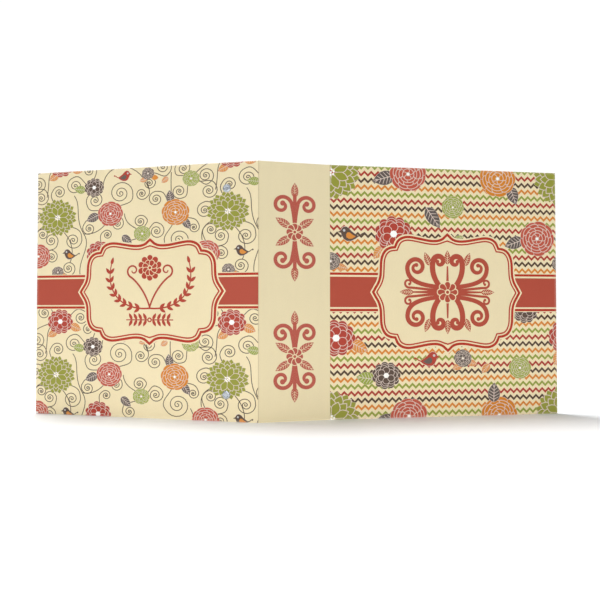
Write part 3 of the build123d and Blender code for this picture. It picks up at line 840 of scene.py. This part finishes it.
# ------------------------------------------------------------------ materials
def print_material(name):
    """Printed paper under a thin satin laminate, with scuffed edges."""
    g = Surface(name)
    colour = g.node("ShaderNodeAttribute", attribute_name="ink")
    # ink density drifts a little over the sheet, and paper fibres show through it
    drift = g.noise(scale=9.0, detail=2.0).remap(to=(0.99, 1.01))
    fibre = g.noise(scale=900.0, detail=3.0, rough=0.6, stretch=(1, 1, 0.55))
    fibre = fibre.remap(to=(0.972, 1.022), of=(0.25, 0.75))
    colour = g.shaded(colour, drift * fibre)
    # edge wear: the laminate is rubbed pale where the board edge stands proud
    wear = g.node("ShaderNodeAttribute", attribute_name="wear")["Fac"]
    specks = g.noise(scale=420.0, detail=5.0, rough=0.7).remap(to=(0.0, 1.0), of=(0.46, 0.66))
    worn = wear * specks
    gloss = g.noise(scale=60.0).remap(to=(0.47, 0.58))
    fine = g.noise(scale=1500.0, detail=3.0, rough=0.6) * 0.35
    grain = fine + g.noise(scale=130.0, detail=3.0) * 0.65
    return g.finish({
        "Base Color": g.mix(worn * 0.55, colour, linear("#F1E9D6")),
        "Roughness": gloss + worn * 0.25,
        "Specular IOR Level": 0.25,
        "Coat Weight": 0.06,
        "Coat Roughness": 0.32,
        "Normal": g.bump(grain, strength=0.16, distance=0.0002),
    })


def paper_material(name, hexa, rough, fibre_scale, spread, bump, fleck=None):
    """Fibrous paper or board; spread is how much the fibres vary its tone."""
    g = Surface(name)
    fibre = g.noise(fibre_scale, detail=5.0, rough=0.65, stretch=(1, 1, 0.4))
    cloud = g.noise(scale=14.0, detail=3.0)
    shade = fibre.remap(to=(1 - spread, 1 + spread * 0.6)) * cloud.remap(to=(0.97, 1.02))
    colour = g.shaded(linear(hexa), shade)
    if fleck:
        spots = g.noise(fibre_scale * 0.9, detail=6.0, rough=0.75)
        spots = spots.remap(to=(0.0, 1.0), of=(0.66, 0.72))
        colour = g.mix(spots * 0.7, colour, linear(fleck))
    return g.finish({
        "Base Color": colour,
        "Roughness": cloud.remap(to=(rough - 0.06, rough + 0.06)),
        "Specular IOR Level": 0.3,
        "Normal": g.bump(fibre, strength=bump, distance=0.0002),
    })


def metal_material(name, hexa, rough, brushed, scratch):
    """Plated or bare sheet steel: brushed grain, hairline scratches and a little tarnish."""
    g = Surface(name)
    base = linear(hexa)
    tarnished = tuple(c * 0.72 for c in base[:3]) + (1.0,)
    cloud = g.noise(scale=70.0, rough=0.6)
    hair = g.noise(scale=1400.0, detail=2.0, rough=0.5, stretch=brushed)
    patches = cloud.remap(to=(rough * 0.8, rough * 1.5), of=(0.3, 0.75))
    return g.finish({
        "Base Color": g.mix(cloud.remap(to=(0.0, 0.35), of=(0.45, 0.8)), base, tarnished),
        "Metallic": 1.0,
        "Roughness": patches + hair.remap(to=(0.0, rough * scratch), of=(0.5, 0.8)),
        "Normal": g.bump(hair, strength=0.05 + 0.1 * scratch, distance=0.00005),
    })


def leaf_frame(i):
    """Origin at the ring holes of page leaf i, and the directions out along it and off it."""
    tilt = math.radians(LEAF_TILT[i - 1])
    back = PANELS["back"]
    origin = back.at(HOLE_X, FIRST_LEAF + LEAF_PITCH * (i - 1), 0)
    out = back.direction(-math.cos(tilt), math.sin(tilt), 0)
    return origin, out, back.direction(math.sin(tilt), math.cos(tilt), 0)


def leaf_axes(g, i):
    """Millimetres out from the ring holes, and up, on page leaf i; both lie in the sheet."""
    origin, out, _ = leaf_frame(i)
    offset = g.vector("SUBTRACT", g.coords(), origin)
    axes = (out, Vector((0, 0, 1)))
    return [g.vector("DOT_PRODUCT", offset, axis * 1000.0)["Value"] for axis in axes]


def line_at(x, at, half=0.5, soft=0.25):
    """1 within half of the place, falling to 0 just outside."""
    return abs(x - at).remap(to=(1.0, 0.0), of=(half, half + soft))


def film_material(name, i):
    """Clear polypropylene pocket with a milky punched strip and pressed weld lines."""
    g = Surface(name)
    u, z = leaf_axes(g, i)
    haze = g.noise(scale=40.0, rough=0.6)
    strip = u.remap(to=(1.0, 0.0), of=(8.3, 8.8))
    welds = line_at(u, 9.6).most(line_at(u, 225.3).most(line_at(z, 5.0)))
    rib = (u * 5.2).calc("SINE") * strip
    solid = (strip * 0.9).most(welds * 0.45)
    height = g.noise(scale=25.0, detail=2.0) * 1.0 + (rib * 0.06 + welds * -0.12)
    return g.finish({
        "Base Color": linear("#F4F6F6"),
        "Roughness": haze.remap(to=(0.08, 0.2), of=(0.3, 0.8)) + strip * 0.25,
        "Alpha": haze.remap(to=(0.05, 0.11), of=(0.3, 0.8)).most(solid),
        "Specular IOR Level": 0.5,
        "Normal": g.bump(height, strength=0.12, distance=0.0008),
    })


def card_material(name, i, ground, figure, pattern, pitch):
    """Card printed in one ink on a tinted ground, its fibres showing through."""
    g = Surface(name)
    u, z = leaf_axes(g, i)

    def cell(x):
        """Place within a repeat, from -0.5 to 0.5."""
        return ((x + 1000.0 * pitch) / pitch).calc("FRACT") - 0.5

    def inside(x, full, none):
        """1 up to full, falling to 0 at none."""
        return x.remap(to=(1.0, 0.0), of=(full, none))

    if pattern == "dots":
        a, b = cell(u), cell(z)
        printed = inside((a * a + b * b).calc("SQRT"), 0.17, 0.2)
    elif pattern == "stripes":
        printed = inside(abs(cell(u)), 0.12, 0.15)
    elif pattern == "checks":
        printed = (inside(abs(cell(u)), 0.24, 0.26) + inside(abs(cell(z)), 0.24, 0.26)) * 0.45
    else:  # zigzag
        printed = inside(abs(cell(z + abs(cell(u)) * pitch)), 0.2, 0.23)
    fibre = g.noise(scale=520.0, detail=5.0, rough=0.65)
    cloud = g.noise(scale=14.0, detail=3.0)
    patchy = fibre.remap(to=(0.75, 0.95), of=(0.35, 0.65))
    colour = g.mix(printed * patchy, linear(ground), linear(figure))
    shade = fibre.remap(to=(0.95, 1.03)) * cloud.remap(to=(0.97, 1.02))
    return g.finish({
        "Base Color": g.shaded(colour, shade),
        "Roughness": cloud.remap(to=(0.74, 0.86)),
        "Specular IOR Level": 0.3,
        "Normal": g.bump(fibre, strength=0.35, distance=0.0002),
    })


MAT = {
    "cover": print_material("printed_cover"),
    "spine": print_material("printed_spine"),
    "lining": paper_material(
        "lining_paper", "#EFE6CF", rough=0.82, fibre_scale=420.0, spread=0.05, bump=0.3),
    "hinge": paper_material(
        "hinge_paper", "#E3D5B2", rough=0.72, fibre_scale=700.0, spread=0.06, bump=0.5),
    "board": paper_material(
        "grey_board", "#A89C8A", rough=0.92, fibre_scale=260.0, spread=0.16, bump=0.7,
        fleck="#6F6558"),
}
for key, name, hexa, rough, brushed, scratch in (
    ("nickel", "nickel_plate", "#D7D6D2", 0.13, (1, 1, 0.04), 0.5),
    ("wire", "nickel_wire", "#DEDDD9", 0.1, (1, 1, 1), 0.3),
    ("blade", "spring_steel", "#9FA1A4", 0.3, (1, 1, 0.03), 1.0),
    ("rivet", "rivet_nickel", "#B2B8BF", 0.2, (1, 1, 1), 0.4),
):
    MAT[key] = metal_material(name, hexa, rough, brushed, scratch)


# ------------------------------------------------------- printed wrap, folded
# The wrap is laid out flat, then folded round the edges of its board. Lengths past a fold
# line are measured along the paper.
EDGE_R = 0.8
ARC = math.pi / 2 * EDGE_R
WALL = FOLD_DEPTH - 2 * EDGE_R
TURNED = 2 * ARC + WALL  # where the wrap lies flat on the inside
SHEET_END = TURNED + TURN_IN - EDGE_R
BENDS = [k * ARC / 4 for k in range(5)] + [k * ARC / 4 + WALL for k in range(4, 9)]
SIDE_FOLD, TOP_FOLD = COVER_W - EDGE_R, HEIGHT - EDGE_R
WEAR_W = 2.5  # width of the scuffed margin inside the fold lines
NEAR_CREASE = [0.25 * k for k in range(1, 9)] + [2.3, 2.6, 2.9, 3.2, 3.5]
NEAR_SPINE_EDGE = (2.1, 2.4, 2.7, 3.0, 3.3, 3.5)
SHEET_X0 = {"front": 0.0, "back": COVER_W, "spine": SPINE_W / 2}  # sheet u at panel x = 0


def fold(s):
    """Turned edge at length s past the fold line: reach past the line, depth, and the
    outward and inward parts of the normal."""
    r = EDGE_R
    if s <= 0:
        return s, 0.0, 0.0, -1.0
    if s <= ARC:
        a = s / r
        return r * math.sin(a), r * (1 - math.cos(a)), math.sin(a), -math.cos(a)
    if s <= ARC + WALL:
        return r, r + s - ARC, 1.0, 0.0
    if s <= TURNED:
        a = (s - ARC - WALL) / r
        depth = FOLD_DEPTH - r + r * math.sin(a)
        return r * math.cos(a), depth, math.cos(a), math.sin(a)
    return -(s - 2 * ARC - WALL), FOLD_DEPTH, 0.0, 1.0


def gutter_depth(distance):
    """The folded edge is flat where no board lies between its layers, near a crease."""
    t = min(max((distance - 2.1) / 1.3, 0.0), 1.0)
    return 0.24 + 0.76 * (t * t * (3 - 2 * t))


def sheet_outline(side):
    """Outline of the flat sheet (u, z), mitred at the outer corners of a cover."""
    low, high = EDGE_R - SHEET_END, TOP_FOLD + SHEET_END
    if side == "spine":
        return [(0, low), (SPINE_W, low), (SPINE_W, high), (0, high)]
    lengths = BENDS + [SHEET_END]
    mitre = [(s, fold(s)[0]) for s in lengths]
    pts = [(0, low)]
    pts += [(SIDE_FOLD + reach, EDGE_R - s) for s, reach in reversed(mitre)]
    pts += [(SIDE_FOLD + s, EDGE_R - reach) for s, reach in mitre[1:]]
    pts += [(SIDE_FOLD + s, TOP_FOLD + reach) for s, reach in reversed(mitre)]
    pts += [(SIDE_FOLD + reach, TOP_FOLD + s) for s, reach in mitre[1:]]
    pts += [(0, high)]
    if side == "back":
        pts = [(COVER_W - u, z) for u, z in reversed(pts)]
    return pts


def bend_lines(side):
    """Lines the folded sheet bends along."""
    left, right = {
        "spine": (-1.0, SPINE_W + 1.0),
        "front": (-1.0, COVER_W + SHEET_END + 1.0),
        "back": (-SHEET_END - 1.0, COVER_W + 1.0),
    }[side]
    heights = [z for s in BENDS for z in (EDGE_R - s, TOP_FOLD + s)]
    heights += [EDGE_R + WEAR_W, TOP_FOLD - WEAR_W]
    if side == "spine":
        places = [u for d in NEAR_SPINE_EDGE for u in (d, SPINE_W - d)]
    else:
        places = NEAR_CREASE + [SIDE_FOLD - WEAR_W] + [SIDE_FOLD + s for s in BENDS]
        if side == "back":
            places = [COVER_W - d for d in places]
    low, high = EDGE_R - SHEET_END - 1, TOP_FOLD + SHEET_END + 1
    lines = [((left, z), (right, z)) for z in heights]
    return lines + [((u, low), (u, high)) for u in places]


def flat_mesh(outline, lines, shapes, base_ink):
    """Triangles of the flat sheet, with the ink of the topmost shape over each."""
    low = [min(p[i] for p in outline) for i in (0, 1)]
    high = [max(p[i] for p in outline) for i in (0, 1)]
    verts, edges, faces, inks = [], [], [], []

    def add(ink, pts):
        start = len(verts)
        verts.extend(Vector(p) for p in pts)
        faces.append(list(range(start, start + len(pts))))
        inks.append(ink)

    add(base_ink, outline)
    for ink, pts in shapes:
        if any(
            max(p[i] for p in pts) < low[i] or min(p[i] for p in pts) > high[i] for i in (0, 1)
        ):
            continue
        area = sum(a[0] * b[1] - b[0] * a[1] for a, b in zip([pts[-1]] + pts[:-1], pts))
        if abs(area) >= 1e-3:
            add(ink, pts if area > 0 else pts[::-1])
    for a, b in lines:
        start = len(verts)
        verts.extend((Vector(a), Vector(b)))
        edges.append((start, start + 1))
    points, _, tris, _, _, origins = delaunay_2d_cdt(verts, edges, faces, 0, 1e-4)
    inside = [(tri, inks[max(owners)]) for tri, owners in zip(tris, origins) if 0 in owners]
    return points, [tri for tri, _ in inside], [ink for _, ink in inside]


def folded(side, u, z):
    """Place, normal and edge wear of a point of the flat sheet once it is folded."""
    panel = PANELS[side]
    x = u - SHEET_X0[side]
    if side == "spine":
        from_crease, past_side = min(u, SPINE_W - u), -1.0
    else:
        from_crease = abs(x)
        past_side = from_crease - SIDE_FOLD
    past_end = max(z - TOP_FOLD, EDGE_R - z)
    past_edge = max(past_side, past_end)
    depth, normal = 0.0, (0.0, -1.0, 0.0)
    if past_end > 1e-6 and past_end >= past_side:
        reach, depth, outward, inward = fold(past_end)
        up = 1 if z > HEIGHT / 2 else -1
        z = TOP_FOLD + reach if up > 0 else EDGE_R - reach
        depth *= gutter_depth(from_crease)
        normal = (0.0, inward, up * outward)
        if past_side > 0:
            x = SIGNS[side] * (SIDE_FOLD + past_side)
    elif past_side > 1e-6:
        reach, depth, outward, inward = fold(past_side)
        x = SIGNS[side] * (SIDE_FOLD + reach)
        normal = (SIGNS[side] * outward, inward, 0.0)
    wear = 1.0 if 1e-6 < past_edge < TURNED else 0.0
    if past_edge <= 0:
        wear = max(0.0, 1 + past_edge / WEAR_W) * 0.75
    return panel.at(x, depth, z), panel.direction(*normal).normalized(), wear


def add_wrap(side, shapes, base_ink, material):
    points, tris, inks = flat_mesh(sheet_outline(side), bend_lines(side), shapes, base_ink)
    index, verts = {}, []
    for k in (k for tri in tris for k in tri):
        if k not in index:
            index[k] = len(verts)
            verts.append(folded(side, *points[k]))
    places, normals, wear = zip(*verts)
    me = bpy.data.meshes.new(f"{side}_printed_wrap")
    me.from_pydata(places, [], [tuple(index[k] for k in tri) for tri in tris])
    me.validate()
    me.shade_smooth()
    me.normals_split_custom_set_from_vertices(normals)
    colours = np.array([INK_LINEAR[ink] for ink in inks], np.float32)
    ink_layer = me.color_attributes.new("ink", "FLOAT_COLOR", "CORNER")
    ink_layer.data.foreach_set("color", np.repeat(colours, 3, axis=0).ravel())
    wear_layer = me.attributes.new("wear", "FLOAT", "POINT")
    wear_layer.data.foreach_set("value", np.array(wear, np.float32))
    me.materials.append(material)
    ob = add_object(f"{side}_printed_wrap", me)
    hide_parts(f"{side}_wrap")
    return ob


def bend_at_crease(ob, side):
    """Bakes the object's placement into its mesh; the crease of the cover and a point 2 mm along
    it are worked out but not used.
    """
    sign = SIGNS[side]
    crease = Vector((sign * SPINE_W / 2 * MM, HINGE_Y * MM, 0))
    end = crease + PANELS[side].direction(sign * 2 * MM, 0, 0)
    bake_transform(ob)


front_wrap = add_wrap("front", front_art(), "cream", MAT["cover"])
back_wrap = add_wrap("back", back_art(), "cream", MAT["cover"])
# the spine's ground ink is its cream darkened a touch as painted shade
spine_wrap = add_wrap("spine", spine_art(), "spine_cream", MAT["spine"])
for side, ob in (("front", front_wrap), ("back", back_wrap)):
    bend_at_crease(ob, side)
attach(spine_wrap, "spine")

# ------------------------------------------------------------- hinge linings
# Half section of the paper strip in each gutter: distance from the crease, depth.
# It runs down from the cover, and its mirror image climbs onto the spine.
STRIP = [
    (9.0, 3.14), (4.1, 3.14), (3.7, 3.1), (3.4, 2.9), (3.15, 2.5), (3.0, 2.0), (2.88, 1.5),
    (2.65, 1.05), (2.3, 0.82), (1.7, 0.72), (0.9, 0.69), (0.25, 0.68),
]
STRIP_T = 0.2
STRIP_MARGIN = 4.4  # from the foot and head of the case
STRIP_ROWS = 12


def add_hinge_lining(side):
    cover, spine, sign = PANELS[side], PANELS["spine"], SIGNS[side]
    half = []
    for k, (e, w) in enumerate(STRIP):
        (e0, w0), (e1, w1) = STRIP[max(k - 1, 0)], STRIP[min(k + 1, len(STRIP) - 1)]
        m = math.hypot(e1 - e0, w1 - w0)
        normal_e, normal_w = -(w0 - w1) / m, (e0 - e1) / m  # away from the boards
        half.append(((e, w), (e + normal_e * STRIP_T, w + normal_w * STRIP_T)))
    section = [(True, pair) for pair in half] + [(False, pair) for pair in reversed(half)]
    verts = []
    for j in range(STRIP_ROWS + 1):
        z = STRIP_MARGIN + (HEIGHT - 2 * STRIP_MARGIN) * j / STRIP_ROWS
        for on_cover, pair in section:
            for e, w in pair:
                if on_cover:
                    verts.append(cover.at(sign * e, w, z))
                else:
                    verts.append(spine.at(sign * (SPINE_W / 2 - e), w, z))
    m = len(section)

    def at(j, k, layer):
        return (j * m + k) * 2 + layer

    faces = []
    for j in range(STRIP_ROWS):
        for k in range(m - 1):
            faces.append((at(j, k, 0), at(j, k + 1, 0), at(j + 1, k + 1, 0), at(j + 1, k, 0)))
            faces.append((at(j, k, 1), at(j + 1, k, 1), at(j + 1, k + 1, 1), at(j, k + 1, 1)))
        for k in (0, m - 1):
            quad = (at(j, k, 0), at(j + 1, k, 0), at(j + 1, k, 1), at(j, k, 1))
            faces.append(quad if k == 0 else quad[::-1])
    for j in (0, STRIP_ROWS):
        for k in range(m - 1):
            quad = (at(j, k, 0), at(j, k, 1), at(j, k + 1, 1), at(j, k + 1, 0))
            faces.append(quad if j == 0 else quad[::-1])
    me = bpy.data.meshes.new(f"{side}_hinge_lining")
    me.from_pydata(verts, [], faces)
    me.validate()
    bm = bmesh.new()
    bm.from_mesh(me)
    bmesh.ops.recalc_face_normals(bm, faces=bm.faces)
    write_smooth(bm, me, sharp_angle=0.9)
    me.materials.append(MAT["hinge"])
    ob = add_object(f"{side}_hinge_lining", me)
    bend_at_crease(ob, side)


def write_smooth(bm, me, sharp_angle):
    """Writes the bmesh, smooth but for edges sharper than the angle (radians)."""
    for e in bm.edges:
        e.smooth = e.calc_face_angle(0) < sharp_angle
    for f in bm.faces:
        f.smooth = True
    bm.to_mesh(me)
    bm.free()


for side in ("front", "back"):
    add_hinge_lining(side)

# --------------------------------------------------------------- CAD finishes
FINISHES = (  # material, pieces
    ("board", ("front_board", "back_board", "spine_board")),
    ("lining", ("front_liner", "back_liner", "spine_liner")),
    ("nickel", ("ring_housing", "lower_lever", "upper_lever")),
    ("wire", [f"{half}_ring_{k}" for k in (1, 2, 3) for half in ("curved", "straight")]),
    ("blade", (
        "inner_blade", "outer_blade", "lower_lever_pin", "upper_lever_pin",
        "lower_rivet_spacer", "upper_rivet_spacer",
    )),
    ("rivet", ("lower_rivet", "upper_rivet")),
)
for key, pieces in FINISHES:
    for piece in pieces:
        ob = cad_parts[piece]
        if not ob.material_slots:
            ob.data.materials.append(None)
        for slot in ob.material_slots:
            slot.link = "OBJECT"
            slot.material = MAT[key]

# ---------------------------------------------------------------------- pages
CARDS = (  # ground, figure, pattern, pitch
    ("#F1E8D2", "#C4604F", "dots", 9.0), ("#C9665A", "#F0E2C8", "stripes", 8.0),
    ("#EFE3C6", "#8F7F70", "zigzag", 12.0), ("#9BA653", "#F0E8CE", "dots", 12.0),
    ("#F0E4C8", "#D98C4B", "checks", 11.0), ("#EBDDBB", "#B75245", "zigzag", 14.0),
)


def bow(i, u, z):
    """How far (mm) leaf i stands off its flat plane: a shallow belly past the punched
    strip, a curling free edge and a faint ripple."""
    s = min(max((u - 9.0) / 217.5, 0.0), 1.0)
    belly = (3.6 + 0.3 * math.sin(1.7 * i)) * 16 * (s * (1 - s)) ** 2
    return belly - 2.2 * s**3 + 0.55 * s * math.sin(TAU * z / 190.0 + 0.6 + 0.45 * i)


def add_leaf(piece, i, material):
    """The flat CAD leaf, cut into strips so that it can bend, and bowed like a loose page."""
    origin, out, off = leaf_frame(i)
    bm = bmesh.new()
    bm.from_mesh(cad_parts[piece].data)
    bmesh.ops.remove_doubles(bm, verts=bm.verts, dist=1e-7)
    cuts = [(origin + out * (u * MM), out) for u in range(11, 226, 6)]
    cuts += [((0, 0, z * MM), (0, 0, 1)) for z in range(16, 284, 19)]
    for place_on_cut, normal in cuts:
        geom = bm.verts[:] + bm.edges[:] + bm.faces[:]
        bmesh.ops.bisect_plane(bm, geom=geom, plane_co=place_on_cut, plane_no=normal)
    for v in bm.verts:
        u = (v.co - origin).dot(out) / MM
        v.co += off * (bow(i, u, v.co.z / MM) * MM)
    me = bpy.data.meshes.new(f"{piece}_bowed")
    write_smooth(bm, me, sharp_angle=0.5)
    # normals carried over from the flat leaf no longer fit
    if "custom_normal" in me.attributes:
        me.attributes.remove(me.attributes["custom_normal"])
    me.materials.append(material)
    ob = add_object(f"{piece}_bowed", me)
    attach(ob, f"page_{i}")
    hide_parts(piece)


for i, card in enumerate(CARDS, 1):
    add_leaf(f"page_sleeve_{i}", i, film_material(f"clear_film_{i}", i))
    add_leaf(f"page_sheet_{i}", i, card_material(f"card_{i}", i, *card))

# ------------------------------------------------------- floor and world (m)
BOUNCE = 0.5  # light thrown back by the floor near the case
AMBIENT = 0.45  # light from all round


def floor_material():
    """White paint that fades to white far off. Close in, outside the case, it throws back
    some light, as a white sweep does, so that the foot of the case isn't dark."""
    g = Surface("floor_paint")
    far = g.vector("LENGTH", g.coords())["Value"]
    # distance in an oval twice as long in X, centred at x = 0.09
    oval = g.vector("MULTIPLY_ADD", g.coords(), (0.5, 1, 1), (-0.045, 0, 0))
    reach = g.vector("LENGTH", oval)["Value"]
    inward = g.vector("DOT_PRODUCT", g.coords(), (0.2, 1, 0))["Value"]
    diffuse = g.node("ShaderNodeLightPath")["Is Diffuse Ray"]
    outside = inward.remap(to=(1, 0), of=(0.02, 0.08)) * diffuse
    bounce = reach.remap(to=(BOUNCE, 0), of=(0.12, 0.3)) * outside
    return g.finish({
        "Base Color": (0.93, 0.945, 0.96, 1),
        "Roughness": 0.9,
        "Specular IOR Level": 0.0,
        "Emission Color": (1, 1, 1, 1),
        "Emission Strength": far.remap(to=(0.06, 0.75), of=(0.6, 2.5)) + bounce,
    })


def add_floor():
    me = bpy.data.meshes.new("floor")
    bm = bmesh.new()
    bmesh.ops.create_grid(bm, x_segments=1, y_segments=1, size=20.0)
    bm.to_mesh(me)
    bm.free()
    floor = add_object("floor", me)
    floor.location = (0, 0, -0.0003)
    me.materials.append(floor_material())


def add_world():
    """Plain white to the camera; a little less light on the object, stronger from -X,
    and darker walls for the metal to reflect."""
    world = bpy.data.worlds.new("studio")
    bpy.context.scene.world = world
    world.use_nodes = True
    g = Graph(world.node_tree)
    ray = g.node("ShaderNodeLightPath")
    around = g.node("ShaderNodeTexCoord")["Generated"]
    sky = g.node("ShaderNodeSeparateXYZ", {0: around})

    def choose(fac, a, b):
        return g.node("ShaderNodeMix", {0: fac, 2: a, 3: b}, data_type="FLOAT")

    wall = sky["Z"].remap(to=(0.3, 1.05), of=(0.02, 0.6))
    ambient = sky["X"].remap(to=(AMBIENT + 0.2, AMBIENT - 0.2), of=(-1.0, 1.0))
    lit = choose(ray["Is Glossy Ray"], ambient, wall)
    g.feed(g.tree.nodes["Background"], {
        "Color": (1, 1, 1, 1),
        "Strength": choose(ray["Is Camera Ray"], lit, 1.03),
    })


add_floor()
add_world()


# ----------------------------------------------------- lights and camera (m)
def aim(ob, location, direction):
    ob.location = location
    ob.rotation_mode = "QUATERNION"
    ob.rotation_quaternion = direction.to_track_quat("-Z", "Y")


def add_disc_light(name, location, target, size, power):
    light = bpy.data.lights.new(name, "AREA")
    light.shape = "DISK"
    light.size = size
    light.energy = power
    aim(add_object(name, light), location, Vector(target) - Vector(location))


def add_camera(location, yaw, pitch, lens):
    """Yaw is in degrees from +Y towards +X, pitch in degrees up, the lens in mm."""
    data = bpy.data.cameras.new("camera")
    data.sensor_width = 36
    data.lens = lens
    data.clip_start = 0.01
    data.clip_end = 50
    yaw, pitch = math.radians(yaw), math.radians(pitch)
    level = math.cos(pitch)
    look = Vector((math.sin(yaw) * level, math.cos(yaw) * level, math.sin(pitch)))
    camera = add_object("camera", data)
    aim(camera, location, look)
    bpy.context.scene.camera = camera


add_disc_light("key", location=(-1.5, -2.7, 0.1), target=(0, 0, 0.1), size=1.2, power=20)
add_disc_light("top", location=(-0.4, 0.5, 2.4), target=(0, 0, 0.0), size=0.9, power=54)
add_camera(location=(-0.1170, -0.5756, 0.1238), yaw=12.07, pitch=1.21, lens=31.26)
bpy.context.scene.view_settings.view_transform = "Standard"
